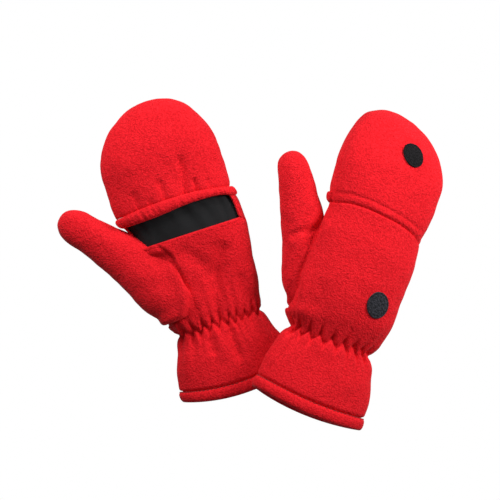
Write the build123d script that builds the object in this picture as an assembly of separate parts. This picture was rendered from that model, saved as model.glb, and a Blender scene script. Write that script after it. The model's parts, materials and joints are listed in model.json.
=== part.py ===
from build123d import *
import os
from math import atan2, cos, degrees, radians, sin, sqrt

# A pair of flip-top mittens lying on a table: the left one palm up, the right one
# palm down with the corner of its cuff resting on the left cuff. Millimetres.
#
# Each mitten is drawn in its own frame first: Y runs from the hem to the finger
# tips, the thumb is on the -X side, and +Z is the back of the hand.

# ---- layers of cloth ----
fleece = 2.4            # fleece shell
lining = 1.0            # brushed knit lining of the thumb and hood
knit = 0.9              # black knit of the inner glove and finger sleeves
elastic = 0.8           # flat elastic
layer_gap = 0.2         # air between two layers
hem_proud = 0.8         # how far the turned cuff hem stands out
casing_proud = 1.6      # how far the gathered hood hem stands out
disc_thick = 1.4        # touch-and-close disc
disc_dia = 22.0

# ---- stations along the hand ----
hem_band = 9.0          # height of the turned hem
hem_arch = 5.0          # how far the middle of the hem bows out
hem_radius = 150.0      # plan radius of that bow
cuff_end = 28.0         # the flare of the cuff is over here
wrist_y = 60.0
wrist_elastic_width = 6.0
hand_y = 98.0
palm_edge_y = 140.0     # lower edge of the slot
binding_width = 4.0
mouth_y = 164.5         # free edge of the hood on the palm side
casing_width = 9.0
hood_elastic_width = 5.0
fold_y = 170.0          # seam that the hood turns on
fold_gap = 0.6
hood_y = 206.0          # the finger tips start to round here
tip_y = 262.0
seam_z = -7.0           # the back panel wraps this far past the middle

# ---- inner glove ----
inner_start = 13.0
finger_base_y = 156.0
finger_walls = 1.2      # clear space beside each sleeve
edge_room = 1.6         # clear space outside the first and last sleeve
edge_finger_share = 0.64  # the outer sleeves are flatter, by the curve of the hand
finger_ends = {"little": 173.0, "ring": 177.0, "middle": 178.5, "index": 176.0}

# ---- thumb ----
thumb_root = (-18.0, 74.0)
thumb_length = 145.0
thumb_root_half = 27.0  # half width where it leaves the hand
thumb_half = 16.0       # half width of the sleeve
thumb_taper = (34.0, 112.0)
thumb_round = 122.0     # the tip starts to round here
knuckle_at = 66.0       # distance along the thumb of its swing axis
knuckle_radius = 26.5
knuckle_gap = 0.4
swing_gap = 0.5         # air left between the swung thumb and the hand
swing_stops = 3         # the swing is cleared at its two ends and evenly between them

# ---- discs ----
hook_reach = 63.0       # from the fold to the disc on the hood
loop_reach = 67.5       # from the fold to the disc on the hand
flip_rise = 1.3         # height of the fold axis above the back

# ---- how each mitten lies: half widths and half depths in each section ----
left = {
    "name": "left", "back_up": False, "middle": (0.0, -4.0, -6.5), "tip_shift": 3.0,
    "cuff": (51.5, 15.0), "wrist": (38.8, 14.0), "hand": (45.0, 17.0),
    "palm_edge": (49.0, 18.0), "fold": (51.0, 18.0), "hood": (53.0, 18.0),
    "thumb_turn": (30.0, 44.0), "thumb_depth": (14.5, 12.5), "thumb_z": (1.5, 3.5),
    "hook_x": 14.0, "loop_x": 24.0, "swing": (-8.0, 10.0),
    "lean": 18.0, "roll": 0.0, "pitch": 0.0, "at": (-7.4, -120.2), "rise": 17.3,
}
right = {
    "name": "right", "back_up": True, "middle": (0.0, -0.8, -3.6), "tip_shift": -13.0,
    "cuff": (51.0, 17.0), "wrist": (38.3, 15.5), "hand": (46.0, 21.0),
    "palm_edge": (46.5, 22.5), "fold": (44.5, 23.0), "hood": (48.5, 23.0),
    "thumb_turn": (29.0, 31.0), "thumb_depth": (16.0, 13.5), "thumb_z": (-5.0, -8.0),
    "hook_x": 11.5, "loop_x": 23.5, "swing": (-4.0, 12.0),
    "lean": -20.3, "roll": 10.0, "pitch": -5.2, "at": (51.1, -132.6), "rise": 42.6,
}

big = 400.0             # larger than the whole mitten
forms = {}              # lofts already made, by kind, mitten and inset


def box(x=(-big, big), y=(-big, big), z=(-big, big)):
    """A block between three pairs of limits."""
    size = [hi - lo for lo, hi in (x, y, z)]
    middle = [(hi + lo) / 2 for lo, hi in (x, y, z)]
    return Pos(*middle) * Box(*size)


def thickest(lay):
    return max(lay[key][1] for key in ("cuff", "wrist", "hand", "palm_edge", "fold", "hood"))


def hand_sections(lay):
    """(y, centre x, centre z, half width, half depth) from the hem to the tips."""
    low, fold_x, hood_x = lay["middle"]
    down = 1 if not lay["back_up"] else -1
    rows = [
        (-hem_arch - 4, low, lay["cuff"]),
        (cuff_end / 2 - 11, low, lay["cuff"]),
        (cuff_end / 2, low, lay["cuff"]),
        (cuff_end, low, tuple(v - 1.0 for v in lay["cuff"])),
        ((cuff_end + wrist_y) / 2, low, mean(lay["cuff"], lay["wrist"])),
        (wrist_y, low, lay["wrist"]),
        ((wrist_y + hand_y) / 2, low, mean(lay["wrist"], lay["hand"], 0.6)),
        (hand_y, low, lay["hand"]),
        (palm_edge_y, low, lay["palm_edge"]),
        (fold_y, fold_x, lay["fold"]),
        ((fold_y + hood_y) / 2, hood_x, mean(lay["fold"], lay["hood"], 0.8)),
        (hood_y, hood_x, lay["hood"]),
    ]
    found = [(y, x, down * (thickest(lay) - b), a, b) for y, x, (a, b) in rows]
    a, b = lay["hood"]
    for t in (0.25, 0.48, 0.68, 0.84, 0.94, 0.988):
        shrink = sqrt(1 - t * t)
        x = hood_x + lay["tip_shift"] * t * t
        drop = down * (thickest(lay) - b * shrink) * 0.35 * t
        found.append((hood_y + t * (tip_y - hood_y), x, drop, a * shrink, b * shrink**0.8))
    return found


def mean(one, two, share=0.5):
    return tuple(p + (q - p) * share for p, q in zip(one, two))


def hand_form(lay, inset):
    """The solid mitten without its thumb, shrunk by inset all round."""
    key = ("hand", lay["name"], round(inset, 3))
    if key not in forms:
        forms[key] = hand_loft(lay, inset)
    return forms[key]


def hand_loft(lay, inset):
    faces = []
    for y, x, z, a, b in hand_sections(lay):
        pull = inset * max(0.0, (y - hood_y) / (tip_y - hood_y)) ** 2
        place = Plane(origin=(x, y - pull, z), x_dir=(1, 0, 0), z_dir=(0, 1, 0))
        faces.append(place * Ellipse(max(a - inset, 2.0), max(b - inset, 1.2)))
    return loft(faces)


def thumb_point(lay, along):
    """Point and heading (degrees from Y) at a distance along the thumb."""
    first, last = lay["thumb_turn"]
    x, y = thumb_root
    steps = 40
    for i in range(steps):
        turn = radians(first + (last - first) * (i + 0.5) / steps * along / thumb_length)
        x -= sin(turn) * along / steps
        y += cos(turn) * along / steps
    z0, z1 = lay["thumb_z"]
    heading = first + (last - first) * along / thumb_length
    return (x, y, z0 + (z1 - z0) * along / thumb_length), heading


def thumb_form(lay, inset):
    """The solid thumb, shrunk by inset."""
    key = ("thumb", lay["name"], round(inset, 3))
    if key not in forms:
        forms[key] = thumb_loft(lay, inset)
    return forms[key]


def thumb_loft(lay, inset):
    faces = []
    start, end = thumb_taper
    spots = [0, start / 2, start, (2 * start + end) / 3, (start + 2 * end) / 3, end, thumb_round]
    spots += [thumb_round + t * (thumb_length - thumb_round) for t in (0.45, 0.75, 0.93, 0.99)]
    for along in spots:
        share = min(max((along - start) / (end - start), 0), 1)
        half = thumb_root_half + (thumb_half - thumb_root_half) * share
        deep_root, deep_tip = lay["thumb_depth"]
        deep = deep_root + (deep_tip - deep_root) * share
        t = max(0.0, (along - thumb_round) / (thumb_length - thumb_round))
        shrink = sqrt(1 - t * t)
        centre, heading = thumb_point(lay, along - inset * t * t)
        turn = radians(heading)
        place = Plane(origin=centre, x_dir=(cos(turn), sin(turn), 0), z_dir=(-sin(turn), cos(turn), 0))
        faces.append(place * Ellipse(max(half * shrink - inset, 1.6), max(deep * shrink - inset, 1.2)))
    return loft(faces)


def arched_hem():
    """Everything on the hand's side of the bowed hem line."""
    centre_y = hem_radius - hem_arch
    disc = Pos(0, centre_y, 0) * Cylinder(hem_radius, big)
    return disc + box(y=(centre_y, big))


def knuckle(lay, radius):
    centre, heading = thumb_point(lay, knuckle_at)
    return Pos(centre[0], centre[1], 0) * Cylinder(radius, big)


def thumb_side(lay, gap):
    """The moving region of the thumb: inside the knuckle's cylinder or beyond it."""
    centre, heading = thumb_point(lay, knuckle_at)
    beyond = Pos(centre[0], centre[1], 0) * Rot(0, 0, heading) * box(y=(0, big))
    return knuckle(lay, knuckle_radius - gap) + beyond


def swung_clear(lay, piece):
    """The piece without what would run into the hand anywhere in the thumb's swing."""
    (x, y, _), _ = thumb_point(lay, knuckle_at)
    low, high = lay["swing"]
    hand = hand_form(lay, -swing_gap)
    casing = hand_form(lay, -casing_proud - swing_gap) & box(y=(mouth_y - 1, hood_y))
    for i in range(swing_stops + 1):
        angle = low + (high - low) * i / swing_stops
        turn = Pos(x, y, 0) * Rot(0, 0, -angle) * Pos(-x, -y, 0)
        piece = piece - turn * hand
        if i == 0:
            piece = piece - turn * casing
    return piece


def disc_on(lay, x, y):
    """A thin disc that follows the back at (x, y)."""
    rows = hand_sections(lay)
    above = next(i for i, row in enumerate(rows) if row[0] > y)
    low, high = rows[above - 1], rows[above]
    share = (y - low[0]) / (high[0] - low[0])
    _, cx, cz, a, b = mean(low, high, share)
    ratio = (x - cx) / a
    z = cz + b * sqrt(1 - ratio * ratio)
    tilt = degrees(atan2(b * ratio / sqrt(1 - ratio * ratio), a))
    rod = Pos(x, y, z) * Rot(0, tilt, 0) * Cylinder(disc_dia / 2, 4 * disc_thick + 4)
    skin = hand_form(lay, -layer_gap / 2 - disc_thick) - hand_form(lay, -layer_gap / 2)
    return skin & rod


def finger_sleeves(lay):
    """Four open knit sleeves side by side, little finger on the far side of the thumb."""
    glove = glove_inset()
    centre_x = lay["middle"][1]
    pitch = 2 * (lay["fold"][0] - glove - knit - edge_room) / len(finger_ends)
    half = pitch / 2 - finger_walls / 2
    deep = lay["fold"][1] - casing_inset() - 2.0
    down = 1 if not lay["back_up"] else -1
    z = down * (thickest(lay) - lay["fold"][1])
    found = {}
    for i, (name, end) in enumerate(finger_ends.items()):
        x = centre_x + (1.5 - i) * pitch
        depth = deep * (edge_finger_share if name in ("little", "index") else 1.0)
        place = Pos(x, (finger_base_y + end) / 2, z) * Rot(90, 0, 0)
        height = end - finger_base_y
        outer = place * extrude(Ellipse(half, depth), height / 2, both=True)
        inner = place * extrude(Ellipse(half - knit, depth - knit), height, both=True)
        found[name] = (outer - inner, inner)
    return found


def glove_inset():
    return fleece + elastic + 2 * layer_gap


def casing_inset():
    return fleece + lining


def build_mitten(lay):
    """All the pieces of one mitten in its own frame, by name."""
    outer = hand_form(lay, 0)
    inner = hand_form(lay, fleece)
    shell = outer - inner
    thumb_outer = thumb_form(lay, 0)
    thumb_inner = thumb_form(lay, fleece)
    moving = thumb_side(lay, knuckle_gap)
    fixed_limit = thumb_side(lay, 0)
    hem = arched_hem()
    fold_lo, fold_hi = fold_y - fold_gap / 2, fold_y + fold_gap / 2
    pieces = {}

    # hand: two panels, the turned hem, the slot's binding
    hand_shell = (shell & box(y=(hem_band, fold_lo))) - thumb_inner
    pieces["back_panel"] = hand_shell & box(z=(seam_z, big))
    pieces["palm_panel"] = hand_shell & box(y=(hem_band, palm_edge_y), z=(-big, seam_z))
    band = hand_form(lay, -hem_proud) - hand_form(lay, glove_inset() - layer_gap)
    pieces["cuff_hem"] = (band & box(y=(-big, hem_band))) & hem
    strip = hand_form(lay, -layer_gap) - hand_form(lay, fleece + layer_gap)
    strip = strip & box(y=(palm_edge_y, palm_edge_y + binding_width), z=(-big, seam_z - layer_gap))
    pieces["slot_binding"] = strip - thumb_inner
    ring = hand_form(lay, fleece + layer_gap / 2) - hand_form(lay, fleece + layer_gap / 2 + elastic)
    wide = wrist_elastic_width / 2
    pieces["wrist_elastic"] = ring & box(y=(wrist_y - wide, wrist_y + wide))

    # inner glove: black knit from the cuff to the finger roots
    glove_out = hand_form(lay, glove_inset()) & box(y=(inner_start, finger_base_y))
    glove_in = hand_form(lay, glove_inset() + knit) & box(y=(0, finger_base_y - knit))
    glove = (glove_out - glove_in) - thumb_form(lay, fleece + layer_gap)
    sleeves = finger_sleeves(lay)
    for name, (sleeve, bore) in sleeves.items():
        glove = glove - bore
        pieces[name + "_finger_sleeve"] = sleeve
    pieces["inner_glove"] = glove

    # thumb: fixed gusset, then the sleeve's two halves and lining, turning on the knuckle
    thumb_shell = thumb_outer - thumb_inner
    gusset = (thumb_shell - fixed_limit) - hand_form(lay, -layer_gap / 2)
    pieces["thumb_gusset"] = largest(gusset)
    sleeve = swung_clear(lay, thumb_shell & moving)
    middle_z = thumb_point(lay, thumb_round)[0][2]
    pieces["thumb_back"] = largest(sleeve & box(z=(middle_z, big)))
    pieces["thumb_front"] = largest(sleeve & box(z=(-big, middle_z)))
    soft = thumb_form(lay, fleece + layer_gap) - thumb_form(lay, fleece + layer_gap + lining)
    pieces["thumb_lining"] = largest(swung_clear(lay, soft & thumb_side(lay, knuckle_gap + layer_gap)))
    root = (soft - thumb_side(lay, -layer_gap)) - hand_form(lay, glove_inset() - layer_gap)
    pieces["gusset_lining"] = largest(root)

    # hood: back and front, lining, gathered hem with its elastic
    hood_shell = shell & box(y=(fold_hi, big))
    casing_top = mouth_y + casing_width
    pieces["hood_back"] = hood_shell & box(z=(seam_z, big))
    pieces["hood_front"] = hood_shell & box(y=(casing_top, big), z=(-big, seam_z))
    soft = hand_form(lay, fleece + layer_gap) - hand_form(lay, fleece + layer_gap + lining)
    kept = box(y=(fold_hi + 1, big)) - box(y=(-big, casing_top + 1), z=(-big, seam_z + 1))
    pieces["hood_lining"] = soft & kept
    tube = hand_form(lay, -casing_proud) - hand_form(lay, casing_inset())
    limits = box(y=(mouth_y, casing_top), z=(-big, seam_z - layer_gap))
    middle_y = mouth_y + casing_width / 2
    half = hood_elastic_width / 2
    band = hand_form(lay, -layer_gap / 2) - hand_form(lay, elastic + layer_gap / 2)
    band = band & box(y=(middle_y - half, middle_y + half), z=(-big, seam_z - 2))
    tunnel = hand_form(lay, -layer_gap) - hand_form(lay, elastic + layer_gap)
    grown = half + layer_gap
    tunnel = tunnel & box(y=(middle_y - grown, middle_y + grown), z=(-big, seam_z - 1.5))
    pieces["hood_hem"] = (tube & limits) - tunnel
    pieces["hood_elastic"] = band

    # touch-and-close discs, one each side of the fold
    pieces["hook_disc"] = disc_on(lay, lay["hook_x"], fold_y + hook_reach)
    pieces["loop_disc"] = disc_on(lay, lay["loop_x"], fold_y - loop_reach)
    return pieces


def largest(shape):
    return max(shape.solids(), key=lambda solid: solid.volume)


def lay_down(lay):
    """Location that lays a mitten on the table."""
    x, y = lay["at"]
    return Pos(x, y, lay["rise"]) * Rot(0, 0, lay["lean"]) * Rot(lay["pitch"], 0, 0) * Rot(0, lay["roll"], 0)


def placed(lay, shape):
    if not lay["back_up"]:
        shape = mirror(shape, about=Plane.XY)
    return lay_down(lay) * shape


def spot(lay, point):
    """A point of the mitten's own frame, where it lies."""
    x, y, z = point
    z = z if lay["back_up"] else -z
    return (lay_down(lay) * Pos(x, y, z)).position


table = box(z=(0, big))
parts = {}
for lay in (left, right):
    for name, shape in build_mitten(lay).items():
        shape = placed(lay, shape)
        if shape.bounding_box().min.Z < 0:
            shape = shape & table
        parts[f"{lay['name']}_{name}"] = shape

boxes = [shape.bounding_box() for shape in parts.values()]
low = [min(getattr(b.min, axis) for b in boxes) for axis in "XYZ"]
high = [max(getattr(b.max, axis) for b in boxes) for axis in "XYZ"]
shift = Vector(-(low[0] + high[0]) / 2, -(low[1] + high[1]) / 2, -low[2])

os.makedirs("parts", exist_ok=True)
for name, shape in parts.items():
    solids = shape.solids()
    whole = solids[0] if len(solids) == 1 else Compound(children=list(solids))
    export_step(Pos(*shift) * whole, f"parts/{name}.step")

for lay in (left, right):
    fold_z = thickest(lay) + flip_rise
    if lay["back_up"]:
        fold_z = lay["fold"][1] + flip_rise
    for label, point in (
        ("fold", (lay["middle"][1], fold_y, fold_z)),
        ("fold_end", (lay["middle"][1] + 10, fold_y, fold_z)),
        ("knuckle", thumb_point(lay, knuckle_at)[0]),
        ("cuff", (0, 0, 0)),
        ("cuff_up", (0, 10, 0)),
    ):
        p = spot(lay, point) + shift
        print(lay["name"], label, round(p.X, 3), round(p.Y, 3), round(p.Z, 3))
print("shift", [round(v, 3) for v in shift])
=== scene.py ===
import json
import random
from math import acos, asin, cos, exp, pi, radians, sin, sqrt

import bmesh
import bpy
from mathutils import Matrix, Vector, noise

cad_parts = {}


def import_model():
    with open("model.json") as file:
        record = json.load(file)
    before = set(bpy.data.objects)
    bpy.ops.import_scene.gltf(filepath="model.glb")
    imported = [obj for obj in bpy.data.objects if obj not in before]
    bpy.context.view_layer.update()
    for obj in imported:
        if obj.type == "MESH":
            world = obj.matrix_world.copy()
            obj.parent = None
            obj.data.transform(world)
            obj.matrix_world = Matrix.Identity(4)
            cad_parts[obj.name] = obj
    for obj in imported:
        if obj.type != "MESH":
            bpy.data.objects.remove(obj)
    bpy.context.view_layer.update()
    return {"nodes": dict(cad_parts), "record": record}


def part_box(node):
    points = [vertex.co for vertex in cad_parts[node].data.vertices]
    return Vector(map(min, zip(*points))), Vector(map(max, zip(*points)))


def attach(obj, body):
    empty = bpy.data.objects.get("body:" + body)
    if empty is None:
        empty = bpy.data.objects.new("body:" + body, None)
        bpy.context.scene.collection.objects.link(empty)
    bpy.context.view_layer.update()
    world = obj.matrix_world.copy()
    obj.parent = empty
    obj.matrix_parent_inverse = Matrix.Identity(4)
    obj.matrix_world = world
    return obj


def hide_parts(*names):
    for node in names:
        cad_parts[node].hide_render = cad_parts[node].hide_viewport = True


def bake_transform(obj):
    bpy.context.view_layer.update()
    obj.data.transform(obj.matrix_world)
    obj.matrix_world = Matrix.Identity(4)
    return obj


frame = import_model()
mm = 0.001  # sizes below are in millimetres
print("frame loaded:", len(frame["nodes"]), "nodes")

# Each mitten is shaped in its own frame, as it was cut: y from the hem to the finger tips,
# the thumb at -x, the back of the hand at +z.

stations = {
    "hem": 8.5, "palmEdge": 140.5, "fold": 172, "tipStart": 206.0, "tip": 263.0,
}

leftMitten = {
    "name": "left", "backUp": False, "opening": (0.0, -4.0, 3.0),
    "half": [(-6, 51), (8, 52.3), (20, 51.5), (32, 48.3), (46, 42.6), (59, 38.6), (68, 39.6),
             (84, 42.6), (98, 44.8), (120, 47.4), (140, 49.2), (156, 50), (168, 51.5), (180, 52.8),
             (206, 52.8)],
    "middle": [(-6, 0), (98, 0), (140, 0), (156, -1.2), (170, -6), (206, -6.5)],
    "depth": [(-6, 15.2), (20, 15.2), (40, 15), (59, 12.4), (76, 14.2), (98, 15.8), (140, 18.4),
              (206, 18)],
    "deepest": 18.0, "tipShift": 5.0, "tipFull": 1.0, "boxy": 0.86,
    "bow": (-4.0, 8.0, 0.0), "wrist": 59.5, "rootSwell": 4.4,
    "seam": [(-50, 171), (0, 171), (46, 171)],
    "casingLow": [(-56, 163.4), (-26, 163.9), (8, 166.5), (34, 165.1), (45, 161.2)],
    "casingHigh": [(-57, 172.6), (-22, 175.6), (15, 174.8), (45, 170.2)],
    "palmSeam": [(-34, 147), (-31.2, 140.3), (-22.5, 128.4), (-19, 109.1), (-17.5, 94.7),
                 (-21.6, 82.1), (-27.6, 74.3), (-36.4, 72.4), (-44, 72)],
    "backSeam": [(-43, 147), (-45, 130), (-45.5, 102), (-43, 88), (-38, 73), (-36, 66)],
    "above": [-37, -32, -24.3, -14.5, -6.1, 1.4, 9, 15.9, 23.3, 31.2, 36.5],
    "below": [-35.4, -25.6, -18.2, -10.2, -1.8, 6.3, 12.5, 17.9, 24.6, 34],
    "pleatSeed": 4,
    "folds": [
        (-1, 3.6, 6.0, [(0.6, 63), (4.2, 82), (7.7, 95), (14.5, 109), (21.8, 121), (25, 128)]),
        (-1, 2.2, 8.0, [(-13, 131), (-4.4, 119.7), (3.2, 108.9), (5.8, 95.5)]),
        (-1, 1.5, 5.0, [(33, 66), (30, 84), (31, 98)]),
        (-1, 2.6, 5.0, [(5.9, 52), (5.8, 36), (8.0, 22)]),
        (-1, 1.9, 4.5, [(-11.8, 50), (-13.0, 34)]),
        (-1, 2.6, 3.0, [(5.4, 174), (7, 182), (9.1, 190), (10.6, 201), (11.6, 211)]),
        (-1, 2.6, 1.8, [(16.4, 174), (17.0, 180), (17.6, 187)]),
        (-1, 1.8, 2.6, [(-12, 174), (-11.4, 184.8), (-12.6, 195)]),
        (-1, 1.4, 3.0, [(-36.0, 174), (-36.5, 183), (-38.5, 192)]),
        (-1, 1.0, 2.2, [(-24.0, 174), (-24.0, 181)]),
        (-1, 1.2, 2.2, [(28.0, 174), (28.4, 183)]),
        (1, 1.4, 5.0, [(-6, 64), (-8, 84), (-2, 100)]),
        (1, 1.2, 5.0, [(14, 64), (16, 80)]),
    ],
    "thumb": {
        "turn": (30.0, 44.0), "z": (0.0, 3.5),
        "half": [(0, 15), (12, 22.5), (26, 26), (40, 26.4), (66, 22.4), (98, 18), (116, 16.2),
                 (126, 15.6)],
        "deep": [(0, 12), (14, 16.4), (40, 16.6), (80, 13.6), (124, 12.6)],
    },
    "discs": {"hook": (14.0, 233.0, 9.6, 10.8, 0), "loop": (24.0, 102.5, 10, 10.8, 0)},
}

rightMitten = {
    "name": "right", "backUp": True, "opening": (0.0, -4.0, -6.0),
    "half": [(-6, 51.2), (8, 51), (20, 50.4), (32, 48), (46, 43.4), (58, 38.2), (68, 42.4),
             (84, 45.4), (98, 46.3), (120, 46.4), (140, 46), (156, 44.6), (166, 43.6), (172, 44.6),
             (186, 47), (206, 48.4)],
    "middle": [(-6, 0), (98, -0.4), (140, 0), (166, -0.8), (186, -2.4), (206, -3.4)],
    "depth": [(-6, 17), (20, 17), (40, 16.5), (58, 15.2), (76, 19), (98, 21.2), (140, 22.6),
              (166, 22.6), (180, 23), (206, 23)],
    "deepest": 23.0, "tipShift": -12.5, "tipFull": 0.88, "boxy": 0.84,
    "bow": (-9.0, 5.2, 9.0), "wrist": 56.5, "rootSwell": 4.2,
    "seam": [(-41, 170.4), (-30, 173.6), (-13.4, 175.1), (8.7, 173.4), (20, 172.1), (31, 169.3),
             (38, 166.4), (42.5, 162.6)],
    "casingLow": [(-44, 169.5), (-20, 166.5), (8, 166), (44, 162.0)],
    "casingHigh": [(-44, 178.6), (-20, 176), (8, 175), (44, 170.6)],
    "palmSeam": [(-34, 147), (-31.2, 140.3), (-22.5, 128.4), (-19, 109.1), (-17.5, 94.7),
                 (-21.6, 82.1), (-27.6, 74.3), (-36.4, 72.4), (-44, 72)],
    "backSeam": [(-43.2, 148), (-44.3, 142), (-46.0, 130), (-46.4, 116), (-46.2, 102), (-43.8, 88.7),
                 (-38.7, 72.4), (-36, 65)],
    "above": [-36.5, -29.6, -20.5, -10.4, 0.7, 11.0, 20.4, 28.4, 34.6],
    "below": [-34.0, -25.2, -15.4, -4.6, 6.0, 16.2, 25.2, 32.4],
    "pleatSeed": 9,
    "folds": [
        (1, 1.1, 1.4, [(-50.5, 128), (-53.2, 115.6), (-53.8, 103.6), (-51.3, 92), (-46, 80)]),
        (1, 2.7, 3.2, [(-43.5, 148.5), (-50.5, 141.5), (-61, 134.5), (-66.6, 127)]),
        (1, 0.9, 1.3, [(-43, 178.5), (-29, 182), (-12.5, 182.6), (3.4, 181.3), (20, 179),
                       (34, 175.5), (43, 171.5)]),
        (1, 1.0, 4.0, [(-6.4, 257), (5.1, 252.5), (16.4, 245.5), (26.3, 237)]),
        (1, 0.9, 1.5, [(-43.5, 186), (-45.8, 200), (-47.2, 214), (-45.5, 228)]),
        (1, 1.1, 1.3, [(-31.5, 50), (-36.2, 35.4), (-41.6, 20.5), (-44.8, 6)]),
        (1, 1.6, 6.0, [(2, 228), (4, 240), (12, 244)]),
        (-1, 1.4, 4.5, [(2, 64), (5, 84), (12, 104)]),
        (-1, 2.4, 2.6, [(5.4, 174), (7, 182), (9.1, 196)]),
        (-1, 2.0, 2.0, [(-14, 174), (-14, 186)]),
        (-1, 2.0, 2.2, [(22, 174), (23, 184)]),
    ],
    "thumb": {
        "turn": (29.0, 31.0), "z": (-9.5, -11.0),
        "half": [(0, 13), (12, 20.5), (26, 24.9), (40, 25.4), (66, 21.4), (88, 18.6), (110, 16.6),
                 (126, 14.6)],
        "deep": [(0, 9), (14, 13), (40, 14), (80, 13.6), (124, 12.6)],
    },
    "discs": {"hook": (9.9, 232.0, 7.4, 10.6, 46), "loop": (25.6, 100.1, 8.8, 11.2, 8)},
}

wristPleats = {
    "valley": 2.9, "groove": 2.2, "zigzag": 3.0, "reach": 13.0, "spread": (0.6, 1.5), "count": 40,
    "puff": 1.1, "puffAt": 7, "halfWide": 38.5, "halfDeep": 15, "ends": 48,
}


# smooth value through (position, value) pairs
def curve(knots, t):
    if t <= knots[0][0]:
        return knots[0][1]
    if t >= knots[-1][0]:
        return knots[-1][1]
    i = next(k for k in range(1, len(knots)) if t <= knots[k][0]) - 1
    (x0, y0), (x1, y1) = knots[i], knots[i + 1]

    def slope(k):
        lo, hi = max(k - 1, 0), min(k + 1, len(knots) - 1)
        return (knots[hi][1] - knots[lo][1]) / (knots[hi][0] - knots[lo][0])

    h = x1 - x0
    s = (t - x0) / h
    m0, m1 = slope(i) * h, slope(i + 1) * h
    return ((2 * s**3 - 3 * s**2 + 1) * y0 + (s**3 - 2 * s**2 + s) * m0
            + (3 * s**2 - 2 * s**3) * y1 + (s**3 - s**2) * m1)


def ease(t):
    t = min(max(t, 0.0), 1.0)
    return t * t * (3 - 2 * t)


def power(value, p):
    return abs(value) ** p * (1 if value >= 0 else -1)


# adds the mitten's place in the frame, from its cuff mount and its hood hinge
def setUp(mitten):
    record = frame["record"]
    mount = next(m for m in record["mounts"] if m["name"] == mitten["name"] + "_hand_opening")
    joints = record["behaviour"]["joints"]
    hinge = next(j for j in joints if j["name"] == mitten["name"] + "_hood_flip")
    flip = 1 if mitten["backUp"] else -1
    xAxis = Vector(hinge["axis"]).normalized() * flip
    yAxis = -Vector(mount["axis"]).normalized()
    zAxis = xAxis.cross(yAxis) * flip
    mitten["axes"] = (xAxis, yAxis, zAxis)
    mitten["at"] = Vector(mount["pos_m"])
    ahead = Vector((yAxis.x, yAxis.y, 0)).normalized()
    mitten["plan"] = (Vector((ahead.y, -ahead.x, 0)), ahead)
    tilt = zAxis.dot(mitten["plan"][0]) * wristPleats["halfDeep"]
    halfWide = wristPleats["halfWide"]
    for key in ("above", "below"):
        spread = []
        for x in mitten[key]:
            angle = acos(min(max(x / halfWide, -1), 1))
            for _ in range(4):
                angle = acos(min(max((x - tilt * sin(angle)) / halfWide, -1), 1))
            spread.append(angle)
        mitten[key + "Angles"] = sorted(spread + [2 * pi - a for a in spread])
    dice = random.Random(mitten["pleatSeed"])
    mitten["reaches"] = [dice.uniform(*wristPleats["spread"]) for _ in range(wristPleats["count"])]


def world(mitten, p):
    xAxis, yAxis, zAxis = mitten["axes"]
    ox, oy, oz = mitten["opening"]
    return mitten["at"] + (xAxis * (p[0] - ox) + yAxis * (p[1] - oy) + zAxis * (p[2] - oz)) * mm


def toPlan(mitten, p):
    # where a point of the mitten is seen from straight above
    xAxis, yAxis, zAxis = mitten["axes"]
    spot = xAxis * p[0] + yAxis * p[1] + zAxis * p[2]
    return spot.dot(mitten["plan"][0]), spot.dot(mitten["plan"][1])


def thumbSide(mitten, side, x, y):
    # how far a place is on the thumb's side of the gusset seam, in mm
    seam = mitten["backSeam" if side > 0 else "palmSeam"]
    top = seam[0][1]
    if y > top + 8 or y < seam[-1][1] - 14:
        return None
    best, signed = 1e9, 0.0
    for (ax, ay), (bx, by) in zip(seam, seam[1:]):
        dx, dy = bx - ax, by - ay
        t = min(max(((x - ax) * dx + (y - ay) * dy) / (dx * dx + dy * dy), 0.0), 1.0)
        ex, ey = x - ax - dx * t, y - ay - dy * t
        d = ex * ex + ey * ey
        if d < best:
            best = d
            signed = sqrt(d) * (1 if dy * ex - dx * ey > 0 else -1)
    return signed


# distance from a line of points, and how far along it (0 to 1) the nearest place is
def toPolyline(points, x, y):
    best, along = 1e9, 0.0
    count = len(points) - 1
    for i in range(count):
        (ax, ay), (bx, by) = points[i], points[i + 1]
        dx, dy = bx - ax, by - ay
        t = ((x - ax) * dx + (y - ay) * dy) / (dx * dx + dy * dy)
        t = min(max(t, 0.0), 1.0)
        d = (x - ax - dx * t) ** 2 + (y - ay - dy * t) ** 2
        if d < best:
            best, along = d, (i + t) / count
    return sqrt(best), along


# depth of the creases and seams at a place on the back (1) or the palm (-1)
def folds(mitten, x, y, side):
    depth = 0.0
    for where, deep, wide, points in mitten["folds"]:
        if where != side:
            continue
        reach = 2.4 * wide
        low, high = min(p[1] for p in points), max(p[1] for p in points)
        if not low - reach < y < high + reach:
            continue
        distance, along = toPolyline(points, x, y)
        if distance < reach:
            fade = ease(along / 0.12 + 0.5) * ease((1 - along) / 0.3 + 0.2)
            depth += deep * exp(-((distance / wide) ** 2)) * fade
    return depth


# distance to the nearest pleat round the wrist, and which one it is
def nearest(angles, angle, radius):
    gaps = [abs((angle - a + pi) % (2 * pi) - pi) for a in angles]
    best = min(range(len(gaps)), key=gaps.__getitem__)
    return gaps[best] * radius, best


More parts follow.
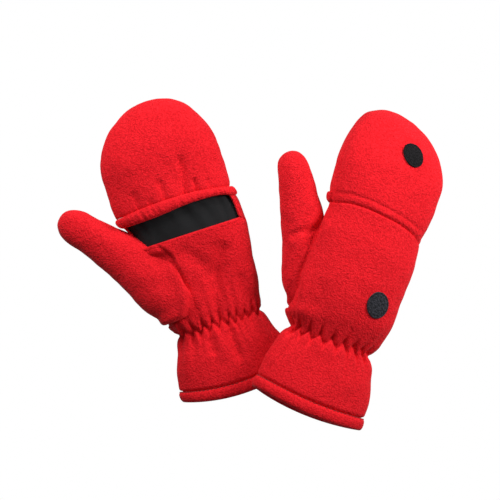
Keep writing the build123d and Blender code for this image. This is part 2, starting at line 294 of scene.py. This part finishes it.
# depth of the pleats that the wrist elastic makes
def gathers(mitten, angle, y, a, b):
    wrist = mitten["wrist"]
    if abs(y - wrist) > wristPleats["ends"]:
        return 0.0
    radius = sqrt((a * sin(angle)) ** 2 + (b * cos(angle)) ** 2)
    radius = min(radius, 40.0)
    up, i = nearest(mitten["aboveAngles"], angle, radius)
    down, j = nearest(mitten["belowAngles"], angle, radius)
    share = up / (up + down + 1e-6)
    line = wrist + wristPleats["zigzag"] * (1 - 2 * share)
    off = y - line
    wide = 1.7 + 0.07 * abs(off)
    groove = wristPleats["groove"] * exp(-((off / 2.1) ** 2))
    gap, index = (up, i) if off > 0 else (down, j + 17)
    reach = wristPleats["reach"] * mitten["reaches"][index % wristPleats["count"]]
    valley = wristPleats["valley"] * exp(-((gap / wide) ** 2)) * exp(-abs(off) / reach)
    puff = wristPleats["puff"] * exp(-((abs(off) - wristPleats["puffAt"]) / 6) ** 2)
    return groove + valley * (1 - exp(-((off / 1.2) ** 2)) * 0.5) - puff


# the hem's curve in plan, which dies out towards the wrist
def bow(mitten, x, y):
    low, rise, centre = mitten["bow"]
    curveAt = low + rise * ((x - centre) / 51) ** 2
    return curveAt * (1 - ease((y + 2) / 50))


skinRelief = {
    "slow": 1.5, "quick": 0.45, "sideSeam": 0.9, "underThumb": 3.0, "palmSewn": 2.5,
    "backSewn": 1.6, "backRidge": 1.6, "hollow": 2.6, "hollowAt": (14, 104), "hollowSize": (20, 26),
}


# a point on the mitten without its thumb. tip is the angle over the rounded finger end
def skin(mitten, angle, y, inset=0.0, relief=1.0, tip=None):
    base = stations["tipStart"]
    a, b = curve(mitten["half"], y), curve(mitten["depth"], y)
    cx = curve(mitten["middle"], y)
    down = -1 if mitten["backUp"] else 1
    cz = down * (mitten["deepest"] - b)
    c, s = cos(angle), sin(angle)
    ny = 0.0
    if tip is not None:
        t = sin(tip)
        y = base + (stations["tip"] - base) * t
        cx += mitten["tipShift"] * t ** 2.2
        cz += down * mitten["deepest"] * 0.22 * t * t
        ny = t / (stations["tip"] - base)
        a *= max(cos(tip), 0.0) ** mitten["tipFull"]
        b *= max(cos(tip), 0.0) ** 0.82
    px = power(c, 0.98)
    pz = power(s, mitten["boxy"])
    x, z = cx + a * px, cz + b * pz
    fullA, fullB = max(a, 6.0), max(b, 5.0)
    if tip is not None:
        fullA, fullB = curve(mitten["half"], base), mitten["deepest"]
        normal = Vector((cos(tip) * c / fullA, ny, cos(tip) * s / fullB))
    else:
        normal = Vector((c / fullA, 0.0, s / fullB))
    normal.normalize()
    side = 1 if s > 0 else -1
    lift = -inset
    if relief:
        soft = noise.noise(Vector((x / 26, y / 30, side * 3 + z / 30))) * skinRelief["slow"]
        soft += noise.noise(Vector((x / 9, y / 11, 7 + side * 5))) * skinRelief["quick"]
        seam = skinRelief["sideSeam"] * exp(-((abs(z - cz) / 1.1) ** 2)) if y > 64 else 0.0
        px, py = toPlan(mitten, (x, y + bow(mitten, x, y), z))
        dug = folds(mitten, px, py, side) + gathers(mitten, angle, y, a, b) + seam
        apart = thumbSide(mitten, side, px, py) if x < 0 and tip is None else None
        if apart is not None:
            under = ease(apart / 3.0 + 0.4) * ease((136 - y) / 6) * (1 if side < 0 else 0.25)
            sewn = skinRelief["palmSewn" if side < 0 else "backSewn"]
            seamGroove = sewn * exp(-((apart / 1.3) ** 2)) * ease((148 - y) / 6)
            dug += skinRelief["underThumb"] * under + seamGroove
            if side > 0:
                ridge = skinRelief["backRidge"] * exp(-(((apart + 4) / 3.4) ** 2))
                dug -= ridge * ease((y - 76) / 10)
        if side < 0:
            atX, atY = skinRelief["hollowAt"]
            wide, long = skinRelief["hollowSize"]
            dug += skinRelief["hollow"] * exp(-(((px - atX) / wide) ** 2) - ((py - atY) / long) ** 2)
        dug -= mitten["rootSwell"] * exp(-(((y - 71) / 7.5) ** 2)) * ease((-c - 0.35) / 0.6)
        lift += (soft * ease((y - 8) / 20) - dug) * relief
    bowed = y + bow(mitten, x, y)
    return Vector((x + normal.x * lift, bowed + normal.y * lift, z + normal.z * lift))


def foldLine(mitten, angle):
    # where the hood is sewn to the back, for a place round the hand
    p = skin(mitten, angle, stations["fold"], relief=0)
    x, y = toPlan(mitten, p)
    return stations["fold"] + curve(mitten["seam"], x) - y


# a grid bent to place(u, v), welded where it meets itself, with a wall if it has one
def sheetOf(name, columns, rows, place, wall=0.0, closed=False):
    bm = bmesh.new()
    bmesh.ops.create_grid(bm, x_segments=columns, y_segments=rows, size=0.5)
    for vert in bm.verts:
        vert.co = place(vert.co.x + 0.5, vert.co.y + 0.5)
    bmesh.ops.remove_doubles(bm, verts=bm.verts, dist=2e-5)
    bmesh.ops.recalc_face_normals(bm, faces=bm.faces)
    if not closed:
        pointOut(bm)
    piece = finished(name, bm)
    if wall:
        addWall(piece, wall)
    return piece


# turns an open skin so that its faces look away from its own middle
def pointOut(bm):
    middle = sum((v.co for v in bm.verts), Vector()) / len(bm.verts)
    score = sum((f.calc_center_median() - middle).dot(f.normal) * f.calc_area() for f in bm.faces)
    if score < 0:
        bmesh.ops.reverse_faces(bm, faces=bm.faces)


def addWall(piece, wall):
    # plain thickness inwards, so that the rounded tips stay clean
    solidify = piece.modifiers.new("wall", "SOLIDIFY")
    solidify.thickness = wall * mm
    solidify.offset = -1
    solidify.use_even_offset = False
    graph = bpy.context.evaluated_depsgraph_get()
    thick = bpy.data.meshes.new_from_object(piece.evaluated_get(graph))
    piece.modifiers.clear()
    piece.data = thick


def finished(name, bm):
    mesh = bpy.data.meshes.new(name)
    bm.to_mesh(mesh)
    bm.free()
    for face in mesh.polygons:
        face.use_smooth = True
    piece = bpy.data.objects.new(name, mesh)
    bpy.context.scene.collection.objects.link(piece)
    return piece


# hangs a piece on its body, gives it its material and hides the CAD nodes it stands in for
def put(piece, body, slot, material, *nodes):
    piece.data.materials.append(material)
    if body:
        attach(piece, body)
    if nodes:
        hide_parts(*nodes)
    return piece


def newMaterial(name, colour, roughness):
    material = bpy.data.materials.new(name)
    material.use_nodes = True
    nodes, links = material.node_tree.nodes, material.node_tree.links
    shader = nodes["Principled BSDF"]
    shader.inputs["Base Color"].default_value = (*colour, 1)
    shader.inputs["Roughness"].default_value = roughness
    return material, nodes, links, shader


def place3d(nodes, links, kind, scale):
    # a texture laid on the piece's own coordinates
    place = nodes.get("Texture Coordinate") or nodes.new("ShaderNodeTexCoord")
    texture = nodes.new(kind)
    texture.inputs["Scale"].default_value = scale
    links.new(place.outputs["Object"], texture.inputs["Vector"])
    return texture


def sumOf(nodes, links, first, second):
    add = nodes.new("ShaderNodeMath")
    add.operation = "ADD"
    links.new(first, add.inputs[0])
    links.new(second, add.inputs[1])
    return add.outputs[0]


def bumpFrom(nodes, links, shader, height, strength, distance, invert=False):
    bump = nodes.new("ShaderNodeBump")
    bump.invert = invert
    bump.inputs["Strength"].default_value = strength
    bump.inputs["Distance"].default_value = distance
    links.new(height, bump.inputs["Height"])
    links.new(bump.outputs["Normal"], shader.inputs["Normal"])


# colours are (position, colour) pairs, darkest place first
def colourBy(nodes, links, shader, factor, colours):
    ramp = nodes.new("ShaderNodeValToRGB")
    elements = ramp.color_ramp.elements
    for i, (position, colour) in enumerate((colours[0], colours[-1])):
        elements[i].position = position
        elements[i].color = (*colour, 1)
    for position, colour in colours[1:-1]:
        elements.new(position).color = (*colour, 1)
    links.new(factor, ramp.inputs["Fac"])
    links.new(ramp.outputs["Color"], shader.inputs["Base Color"])


fleeceLook = {
    "dark": (0.66, 0.007, 0.013), "mid": (0.78, 0.010, 0.018), "light": (0.87, 0.015, 0.025),
    "steps": (0.30, 0.56, 0.86), "roughness": 0.92, "sheen": 0.08, "sheenTint": (1.0, 0.25, 0.25),
    "pebbles": 780, "fuzz": 420, "patches": 60, "bump": 0.58, "pile": 0.0011,
}


def fleeceCloth():
    look = fleeceLook
    material, nodes, links, shader = newMaterial("redFleece", look["mid"], look["roughness"])
    shader.inputs["Sheen Weight"].default_value = look["sheen"]
    shader.inputs["Sheen Roughness"].default_value = 0.5
    shader.inputs["Sheen Tint"].default_value = (*look["sheenTint"], 1)
    shader.inputs["Specular IOR Level"].default_value = 0.12
    pebbles = place3d(nodes, links, "ShaderNodeTexVoronoi", look["pebbles"])
    pebbles.feature = "SMOOTH_F1"
    pebbles.inputs["Smoothness"].default_value = 0.6
    fuzz = place3d(nodes, links, "ShaderNodeTexNoise", look["fuzz"])
    patches = place3d(nodes, links, "ShaderNodeTexNoise", look["patches"])
    for texture in (fuzz, patches):
        texture.inputs["Detail"].default_value = 3
    scale = nodes.new("ShaderNodeMath")
    scale.operation = "MULTIPLY_ADD"
    scale.inputs[1].default_value = -0.9
    scale.inputs[2].default_value = 0.45
    links.new(pebbles.outputs["Distance"], scale.inputs[0])
    pile = sumOf(nodes, links, fuzz.outputs["Fac"], scale.outputs[0])
    tone = nodes.new("ShaderNodeMath")
    tone.operation = "MULTIPLY_ADD"
    tone.inputs[1].default_value = 0.10
    links.new(patches.outputs["Fac"], tone.inputs[0])
    links.new(pile, tone.inputs[2])
    shift = nodes.new("ShaderNodeMath")
    shift.operation = "SUBTRACT"
    shift.inputs[1].default_value = 0.05
    links.new(tone.outputs[0], shift.inputs[0])
    colours = list(zip(look["steps"], (look["dark"], look["mid"], look["light"])))
    colourBy(nodes, links, shader, shift.outputs[0], colours)
    bumpFrom(nodes, links, shader, pile, look["bump"], look["pile"])
    return material


def knitCloth(name, colour, pitch, rough=0.8):
    material, nodes, links, shader = newMaterial(name, colour, rough)
    shader.inputs["Sheen Weight"].default_value = 0.07
    shader.inputs["Sheen Roughness"].default_value = 0.4
    shader.inputs["Specular IOR Level"].default_value = 0.2
    ribs = place3d(nodes, links, "ShaderNodeTexWave", pitch)
    ribs.inputs["Distortion"].default_value = 0.6
    fuzz = place3d(nodes, links, "ShaderNodeTexNoise", pitch * 2.2)
    colours = [(0, [v * 0.7 for v in colour]), (1, [v * 1.35 for v in colour])]
    colourBy(nodes, links, shader, fuzz.outputs["Fac"], colours)
    height = sumOf(nodes, links, ribs.outputs["Fac"], fuzz.outputs["Fac"])
    bumpFrom(nodes, links, shader, height, 0.35, 0.0003)
    return material


def tapeCloth(name, colour, pitch, height):
    material, nodes, links, shader = newMaterial(name, colour, 0.85)
    shader.inputs["Sheen Weight"].default_value = 0.04
    shader.inputs["Specular IOR Level"].default_value = 0.12
    hooks = place3d(nodes, links, "ShaderNodeTexVoronoi", pitch)
    colours = [(0, [v * 1.7 for v in colour]), (0.75, [v * 0.5 for v in colour])]
    colourBy(nodes, links, shader, hooks.outputs["Distance"], colours)
    bumpFrom(nodes, links, shader, hooks.outputs["Distance"], 0.8, height, invert=True)
    return material


panelSizes = {
    "wall": 2.0, "inset": 0.3, "turnedIn": 3.4, "rim": 9, "slotRim": 15, "thumbSlotRim": -4,
    "slotFrom": 138, "pastFold": 1.2,
}


def rimAngle(y, thumbward):
    # how far the back panel wraps on to the palm beside the slot
    wide = panelSizes["thumbSlotRim" if thumbward else "slotRim"]
    return radians(panelSizes["rim"] + wide * ease((y - panelSizes["slotFrom"]) / 5))


def backPanel(mitten, fleece):
    name = mitten["name"]

    def place(u, v):
        y = stations["hem"] + (stations["fold"] - stations["hem"]) * v
        rim, thumbRim = rimAngle(y, False), rimAngle(y, True)
        angle = -rim + (pi + rim + thumbRim) * u
        top = foldLine(mitten, min(max(angle, 0), pi))
        y = stations["hem"] + (top + panelSizes["pastFold"] - stations["hem"]) * v
        roll = 2.0 * ease((v - 0.982) / 0.016) + panelSizes["turnedIn"] * ease(1 - v / 0.02)
        return world(mitten, skin(mitten, angle, y, inset=panelSizes["inset"] + roll))

    piece = sheetOf(name + "BackPanel", 128, 128, place, wall=panelSizes["wall"])
    put(piece, name + "_hand", "fleece", fleece, name + "_back_panel")


def palmPanel(mitten, fleece):
    name = mitten["name"]

    def place(u, v):
        y = stations["hem"] + (stations["palmEdge"] - stations["hem"]) * v
        rim = radians(panelSizes["rim"])
        angle = pi + rim + (pi - 2 * rim) * u
        roll = 1.6 * ease((v - 0.985) / 0.015) + panelSizes["turnedIn"] * ease(1 - v / 0.024)
        return world(mitten, skin(mitten, angle, y, inset=panelSizes["inset"] + roll))

    piece = sheetOf(name + "PalmPanel", 120, 116, place, wall=panelSizes["wall"])
    put(piece, name + "_hand", "fleece", fleece, name + "_palm_panel")


# a stuffed band round part of the mitten: a closed tube with rounded ends
def tubeBand(mitten, name, sizes, start, end, low, high):
    turn = end - start
    whole = abs(turn - 2 * pi) < 1e-6
    outer, inner = sizes["outer"], sizes["inner"]
    endShare = 0.02  # how much of the band's length each rounded end takes

    def place(u, v):
        angle = start + turn * u
        around = 2 * pi * v
        toEnd = min(u, 1 - u)
        cap = 1.0
        if not whole and toEnd < endShare:
            cap = max(0.02, sqrt(max(0.0, 1 - (1 - toEnd / endShare) ** 2)))
        row = (low(0) + high(0)) / 2
        x = curve(mitten["middle"], row) + curve(mitten["half"], row) * cos(angle)
        bottom, top = low(x), high(x)
        middle, half = (bottom + top) / 2, (top - bottom) / 2 * cap
        y = middle + half * power(sin(around), 0.8)
        thick = (outer + inner) / 2 * cap
        out = (outer - inner) / 2 + thick * power(cos(around), 0.8)
        if cos(around) > 0:
            puffed = sizes["pucker"] * noise.noise(Vector((angle * 13, 2.0, 5.0)))
            out += (sizes["bulge"] + puffed) * cos(around) * cap
        return world(mitten, skin(mitten, angle, y, inset=-out, relief=0.35))

    return sheetOf(name, sizes["columns"], 20, place)


cuffHemSizes = {
    "low": -0.6, "high": 9.4, "outer": 0.3, "inner": 3.4, "bulge": 1.1, "pucker": 0.3, "columns": 220,
}


def cuffHem(mitten, fleece):
    name, sizes = mitten["name"], cuffHemSizes
    piece = tubeBand(mitten, name + "CuffHem", sizes, 0, 2 * pi,
                     lambda x: sizes["low"], lambda x: sizes["high"])
    put(piece, name + "_hand", "fleece", fleece, name + "_cuff_hem")


slotBindingSizes = {
    "low": 137.5, "high": 142.0, "outer": -0.7, "inner": 3.4, "bulge": 0.2, "pucker": 0.2,
    "columns": 110,
}


def slotBinding(mitten, fleece):
    name, sizes = mitten["name"], slotBindingSizes
    piece = tubeBand(mitten, name + "SlotBinding", sizes, pi + radians(12), 2 * pi - radians(10),
                     lambda x: sizes["low"], lambda x: sizes["high"])
    put(piece, name + "_hand", "fleece", fleece, name + "_slot_binding")


hoodHemSizes = {"outer": 0.7, "inner": 3.4, "bulge": 1.5, "pucker": 1.3, "columns": 190}


def hoodHem(mitten, fleece):
    name = mitten["name"]

    def low(x):
        return curve(mitten["casingLow"], x)

    def high(x):
        return curve(mitten["casingHigh"], x)

    last = 2 * pi + radians(-5 if mitten["backUp"] else 10)
    piece = tubeBand(mitten, name + "HoodHem", hoodHemSizes, pi - radians(12), last, low, high)
    put(piece, name + "_hood", "fleece", fleece, name + "_hood_hem")


hoodSizes = {
    "wall": 2.0, "rim": 3, "straight": 0.36, "underHem": 2.2, "liningInset": 3.4, "liningWall": 0.8,
}


# row to height: straight to the finger tips, then over the round end
def overTip(v, start):
    share = hoodSizes["straight"]
    if v < share:
        return start + (stations["tipStart"] - start) * v / share, None
    return stations["tipStart"], (v - share) / (1 - share) * pi / 2


def hoodBack(mitten, fleece):
    name = mitten["name"]

    def place(u, v):
        rim = radians(hoodSizes["rim"])
        angle = -rim + (pi + 2 * rim) * u
        y, tip = overTip(v, foldLine(mitten, min(max(angle, 0), pi)) - 0.4)
        roll = 1.8 * (1 - ease(v / 0.028))
        return world(mitten, skin(mitten, angle, y, inset=roll, tip=tip))

    piece = sheetOf(name + "HoodBack", 128, 100, place, wall=hoodSizes["wall"])
    put(piece, name + "_hood", "fleece", fleece, name + "_hood_back")


def hoodFront(mitten, fleece):
    name = mitten["name"]

    def place(u, v):
        rim = radians(hoodSizes["rim"])
        angle = pi + rim + (pi - 2 * rim) * u
        fold = stations["fold"]
        x = curve(mitten["middle"], fold) + curve(mitten["half"], fold) * cos(angle)
        start = curve(mitten["casingHigh"], x) - hoodSizes["underHem"]
        y, tip = overTip(v, start)
        roll = 1.5 * (1 - ease(v / 0.05))
        return world(mitten, skin(mitten, angle, y, inset=roll, tip=tip))

    piece = sheetOf(name + "HoodFront", 128, 100, place, wall=hoodSizes["wall"])
    put(piece, name + "_hood", "fleece", fleece, name + "_hood_front")


def hoodLining(mitten, cloth):
    name = mitten["name"]

    def place(u, v):
        y, tip = overTip(v, stations["fold"])
        inset = hoodSizes["liningInset"]
        return world(mitten, skin(mitten, 2 * pi * u, y, inset=inset, relief=0.4, tip=tip))

    wall = hoodSizes["liningWall"]
    piece = sheetOf(name + "HoodLining", 100, 60, place, wall=wall, closed=True)
    put(piece, name + "_hood", "lining", cloth, name + "_hood_lining")


# low edge, high edge and depth under the skin
elasticSizes = {"wrist": (56, 62, 5.2), "hood": (168, 173, 1.2), "wall": 0.7}


def elasticBand(mitten, name, start, end, sizes):
    low, high, inset = sizes

    def place(u, v):
        angle = start + (end - start) * u
        return world(mitten, skin(mitten, angle, low + (high - low) * v, inset=inset, relief=0))

    return sheetOf(name, 90, 4, place, wall=elasticSizes["wall"])


def elastics(mitten, cloth):
    name = mitten["name"]
    wrist = elasticBand(mitten, name + "WristElastic", 0, 2 * pi, elasticSizes["wrist"])
    put(wrist, name + "_hand", "elastic", cloth, name + "_wrist_elastic")
    hood = elasticBand(mitten, name + "HoodElastic", pi + 0.1, 2 * pi - 0.1, elasticSizes["hood"])
    put(hood, name + "_hood", "elastic", cloth, name + "_hood_elastic")


innerGloveSizes = {
    "low": 7, "high": 169, "closesAt": 0.94, "closedBy": 15, "inset": 3.9, "waist": 2.6,
    "palmInset": 5.4, "wall": 0.8,
}


def innerGlove(mitten, cloth):
    name, sizes = mitten["name"], innerGloveSizes

    def place(u, v):
        angle = 2 * pi * u
        y = sizes["low"] + (sizes["high"] - sizes["low"]) * min(v / sizes["closesAt"], 1)
        close = ease((v - sizes["closesAt"]) / 0.06)
        wrinkle = noise.noise(Vector((cos(angle) * 5, sin(angle) * 5, y / 26))) * 0.9
        crease = Vector((cos(angle) * 4 + y / 50, sin(angle) * 4, 8 + y / 60))
        wrinkle += abs(noise.noise(crease)) * 1.8
        waist = sizes["waist"] * exp(-(((y - mitten["wrist"]) / 16) ** 2))
        deepIn = sizes["palmInset"] * (1 - ease((y - 124) / 12)) * ease((y - 16) / 20)
        inset = sizes["inset"] + waist + deepIn + wrinkle + close * sizes["closedBy"]
        return world(mitten, skin(mitten, angle, y, inset=inset, relief=0))

    piece = sheetOf(name + "InnerGlove", 120, 96, place, wall=sizes["wall"], closed=True)
    put(piece, name + "_hand", "black_knit", cloth, name + "_inner_glove")


# place across the hand and where the open end is
fingers = {"little": (1.5, 171), "ring": (0.5, 175), "middle": (-0.5, 177), "index": (-1.5, 174)}
fingerSizes = {"row": 168, "root": 156, "outerShare": 0.66, "wall": 0.9}


def fingerSleeves(mitten, cloth):
    name = mitten["name"]
    for finger, (rank, end) in fingers.items():
        low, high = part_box(f"{name}_{finger}_finger_sleeve")
        centre = (Vector(low) + Vector(high)) / 2
        xAxis, yAxis, zAxis = mitten["axes"]
        row = fingerSizes["row"]
        half = (curve(mitten["half"], row) - 5.6) / 4 - 0.6
        outer = finger in ("little", "index")
        deep = (curve(mitten["depth"], row) - 4.9) * (fingerSizes["outerShare"] if outer else 1.0)
        length = end - fingerSizes["root"]

        def place(u, v):
            angle = 2 * pi * u
            along = -length / 2 + 4 + (length - 4) * v
            flare = 1 + 0.05 * ease((v - 0.8) / 0.2) - 0.04 * ease(1 - abs(v - 0.82) / 0.03)
            lump = Vector((cos(angle) * 2 + rank * 9, sin(angle) * 2, along / 7))
            swell = 0.4 * noise.noise(lump)
            x, z = (half + swell) * flare * cos(angle), (deep + swell) * flare * sin(angle)
            return centre + (xAxis * x + yAxis * along + zAxis * z) * mm

        pieceName = f"{name}{finger.capitalize()}Sleeve"
        piece = sheetOf(pieceName, 56, 30, place, wall=fingerSizes["wall"], closed=True)
        put(piece, name + "_hand", "black_knit", cloth, f"{name}_{finger}_finger_sleeve")


thumbPath = {
    "root": (-18.0, 74.0), "length": 145.0, "round": 124.0, "straight": 0.72, "knuckle": 66.0,
    "bendHalf": 16, "wall": 2.0, "liningFrom": 34.0, "liningInset": 6.4, "liningWall": 0.8,
}


# middle of the thumb and the way it leans, at a distance along it
def thumbSpot(mitten, along):
    first, last = mitten["thumb"]["turn"]
    length = thumbPath["length"]
    x, y = thumbPath["root"]
    steps = 12
    for i in range(steps):
        turn = radians(first + (last - first) * (i + 0.5) / steps * along / length)
        x -= sin(turn) * along / steps
        y += cos(turn) * along / steps
    z0, z1 = mitten["thumb"]["z"]
    lean = radians(first + (last - first) * along / length)
    return Vector((x, y, z0 + (z1 - z0) * along / length)), lean


def thumbTube(mitten, name, columns, rows, start, inset, relief, wall):
    length, bend = thumbPath["length"], thumbPath["round"]
    straight = thumbPath["straight"]

    def place(u, v):
        angle = 2 * pi * u
        if v < straight:
            along, tip = start + (bend - start) * v / straight, 0.0
        else:
            tip = (v - straight) / (1 - straight) * pi / 2
            along = bend + (length - bend - inset) * sin(tip)
        centre, turn = thumbSpot(mitten, along)
        half = (curve(mitten["thumb"]["half"], along) - inset) * cos(tip) ** 0.92
        deep = (curve(mitten["thumb"]["deep"], along) - inset) * cos(tip) ** 0.85
        side = 1 if sin(angle) > 0 else -1
        across, up = half * power(cos(angle), 0.98), deep * power(sin(angle), 0.88)
        p = centre + Vector((cos(turn) * across, sin(turn) * across, up))
        out = Vector((cos(turn) * cos(angle), sin(turn) * cos(angle), sin(angle) * 1.3)).normalized()
        if relief:
            soft = noise.noise(Vector((p.x / 20, p.y / 20, side * 4.0))) * 1.2
            soft += noise.noise(Vector((p.x / 8, p.y / 8, side * 9.0))) * 0.35
            seam = 0.9 * exp(-((up / 1.1) ** 2))
            px, py = toPlan(mitten, p)
            apart = thumbSide(mitten, side, px, py)
            if apart is not None:
                seam += (2.0 if side < 0 else 1.3) * exp(-((apart / 1.3) ** 2))
                if side < 0:
                    seam += 3.6 * ease(-apart / 3.0 + 0.4)
                soft += 2.6 * exp(-(((apart - 3.5) / 5) ** 2)) * (1 if side < 0 else -0.6)
            raised = soft - seam - folds(mitten, px, py, side)
            p += out * raised * relief * ease(cos(tip) / 0.3)
        return world(mitten, p)

    return sheetOf(name, columns, rows, place, wall=wall, closed=True)


def bendThumb(mitten, piece, slot, material, *nodes):
    piece.data.materials.append(material)
    centre, turn = thumbSpot(mitten, thumbPath["knuckle"])
    heading = Vector((-sin(turn), cos(turn), 0)) * thumbPath["bendHalf"]
    start, end = world(mitten, centre - heading), world(mitten, centre + heading)
    tuple(start)
    tuple(end)
    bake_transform(piece)
    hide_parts(*nodes)


def thumb(mitten, fleece, cloth):
    name = mitten["name"]
    sleeve = thumbTube(mitten, name + "Thumb", 104, 120, 0.0, 0.0, 1.0, thumbPath["wall"])
    bendThumb(mitten, sleeve, "fleece", fleece,
              name + "_thumb_gusset", name + "_thumb_back", name + "_thumb_front")
    lining = thumbTube(mitten, name + "ThumbLining", 48, 50, thumbPath["liningFrom"],
                       thumbPath["liningInset"], 0.0, thumbPath["liningWall"])
    bendThumb(mitten, lining, "lining", cloth, name + "_thumb_lining", name + "_gusset_lining")


discSizes = {"flat": 0.8, "lift": 1.3, "edge": 1.8, "sewnAt": 0.86, "sewnDeep": 0.35}


# a touch-and-close coin laid on the back, with a stitched edge
def disc(mitten, kind, body, material):
    name = mitten["name"]
    planX, planY, wide, long, lean = mitten["discs"][kind]

    def onBack(x, y, lift):
        tip = None
        row = y
        if y > stations["tipStart"]:
            t = min((y - stations["tipStart"]) / (stations["tip"] - stations["tipStart"]), 0.98)
            tip, row = asin(t), stations["tipStart"]
        a = curve(mitten["half"], row)
        middle = curve(mitten["middle"], row)
        if tip is not None:
            a *= cos(tip) ** mitten["tipFull"]
            middle += mitten["tipShift"] * sin(tip) ** 2.2
        ratio = min(max((x - middle) / a, -0.97), 0.97)
        angle = acos(power(ratio, 1 / 0.98))
        return skin(mitten, angle, row, inset=-lift, relief=0.6, tip=tip)

    def seenAt(x, y, lift):
        # the point on the back that lies under (x, y) seen from above
        atX, atY = x, y
        for _ in range(4):
            seenX, seenY = toPlan(mitten, onBack(atX, atY, 0))
            atX, atY = atX + x - seenX, atY + y - seenY
        return onBack(atX, atY, lift)

    def place(u, v):
        angle = 2 * pi * u
        flat, high = discSizes["flat"], discSizes["lift"]
        if v < flat:
            share, lift = v / flat, high
        else:
            turn = (v - flat) / 0.2 * pi / 2
            share, lift = 1 + 0.04 * sin(turn), high - discSizes["edge"] * (1 - cos(turn))
        rim = discSizes["sewnDeep"] * exp(-(((share - discSizes["sewnAt"]) / 0.05) ** 2))
        across, along = wide * share * cos(angle), long * share * sin(angle)
        turn = radians(lean)
        x = planX + across * cos(turn) - along * sin(turn)
        y = planY + across * sin(turn) + along * cos(turn)
        return world(mitten, seenAt(x, y, lift - rim))

    piece = sheetOf(name + kind.capitalize() + "Disc", 72, 30, place)
    put(piece, body, kind + "_tape", material, f"{name}_{kind}_disc")


# row, depth, and half sizes of one stitch in mm
stitchSizes = {"count": 84, "row": 9.3, "inset": 0.1, "half": (1.3, 0.4, 0.35)}


# lockstitches in the groove above the cuff's hem
def stitches(mitten, thread):
    name = mitten["name"]
    bm = bmesh.new()
    count, row, inset = stitchSizes["count"], stitchSizes["row"], stitchSizes["inset"]
    halfLong, halfHigh, halfWide = (size * mm for size in stitchSizes["half"])

    def spot(angle, depth):
        return world(mitten, skin(mitten, angle, row, inset=depth, relief=0.35))

    for i in range(count):
        angle = 2 * pi * (i + 0.5) / count
        here = spot(angle, inset)
        along = (spot(angle + 0.02, inset) - here).normalized()
        up = (here - spot(angle, 2.0)).normalized()
        made = bmesh.ops.create_uvsphere(bm, u_segments=6, v_segments=5, radius=1.0)
        third = along.cross(up)
        for vert in made["verts"]:
            c = vert.co.copy()
            vert.co = here + along * c.x * halfLong + up * c.y * halfHigh + third * c.z * halfWide
    piece = finished(name + "HemStitches", bm)
    put(piece, name + "_hand", "fleece", thread)


def buildMitten(mitten, cloths):
    setUp(mitten)
    for fleecePiece in (backPanel, palmPanel, cuffHem, slotBinding, hoodBack, hoodFront, hoodHem):
        fleecePiece(mitten, cloths["fleece"])
    hoodLining(mitten, cloths["lining"])
    elastics(mitten, cloths["elastic"])
    innerGlove(mitten, cloths["knit"])
    fingerSleeves(mitten, cloths["knit"])
    thumb(mitten, cloths["fleece"], cloths["lining"])
    disc(mitten, "hook", mitten["name"] + "_hood", cloths["hook"])
    disc(mitten, "loop", mitten["name"] + "_hand", cloths["loop"])
    stitches(mitten, cloths["thread"])
    print(mitten["name"], "mitten made")


studioLook = {
    "aim": (0.0004, 0.0085), "height": 3.0, "view": 0.4333, "plane": 0.026, "sensor": 36,
    "floorHalf": 3.0, "floorDrop": 0.0006, "sky": 0.16,
}
# place, size in metres, strength in watts
lamps = {
    "rightLamp": ((0.64, 0.30, 0.36), 0.3, 5.4),
    "leftLamp": ((-0.42, 0.62, 0.40), 0.3, 5.2),
    "topLamp": ((0.0, 0.7, 0.9), 0.6, 1.5),
}


def studio():
    look = studioLook
    camera = bpy.data.objects.new("camera", bpy.data.cameras.new("camera"))
    bpy.context.scene.collection.objects.link(camera)
    camera.location = (*look["aim"], look["height"])
    camera.data.sensor_width = look["sensor"]
    camera.data.lens = look["sensor"] * (look["height"] - look["plane"]) / look["view"]
    camera.data.clip_end = 20
    bpy.context.scene.camera = camera

    bm = bmesh.new()
    bmesh.ops.create_grid(bm, x_segments=2, y_segments=2, size=look["floorHalf"])
    bmesh.ops.translate(bm, verts=bm.verts, vec=(0, 0, -look["floorDrop"]))
    floor = finished("floor", bm)
    floor.visible_diffuse = False  # no light from the floor on the mittens
    material, _, _, shader = newMaterial("paleFloor", (0.0, 0.0, 0.0), 0.9)
    shader.inputs["Emission Color"].default_value = (1, 1, 1, 1)
    shader.inputs["Emission Strength"].default_value = 1.0
    shader.inputs["Specular IOR Level"].default_value = 0.0
    floor.data.materials.append(material)

    sky = bpy.data.worlds.new("studio")
    bpy.context.scene.world = sky
    sky.use_nodes = True
    sky.node_tree.nodes["Background"].inputs["Color"].default_value = (1, 1, 1, 1)
    sky.node_tree.nodes["Background"].inputs["Strength"].default_value = look["sky"]
    for name, (at, size, strength) in lamps.items():
        light = bpy.data.lights.new(name, "AREA")
        light.size = size
        light.energy = strength
        lamp = bpy.data.objects.new(name, light)
        lamp.location = at
        lamp.rotation_euler = (-Vector(at)).to_track_quat("-Z", "Y").to_euler()
        bpy.context.scene.collection.objects.link(lamp)
    bpy.context.scene.view_settings.view_transform = "Standard"
    print("studio set up")


studio()
cloths = {
    "fleece": fleeceCloth(),
    "thread": newMaterial("redThread", (0.45, 0.008, 0.012), 0.6)[0],
    "knit": knitCloth("blackKnit", (0.010, 0.0105, 0.0115), 900),
    "lining": knitCloth("darkLining", (0.02, 0.018, 0.019), 500, 0.9),
    "elastic": knitCloth("braidedElastic", (0.42, 0.40, 0.38), 700, 0.6),
    "hook": tapeCloth("hookTape", (0.009, 0.008, 0.009), 900, 0.0006),
    "loop": tapeCloth("loopTape", (0.031, 0.031, 0.038), 650, 0.0008),
}
print("cloths made:", len(cloths))
for mitten in (leftMitten, rightMitten):
    buildMitten(mitten, cloths)
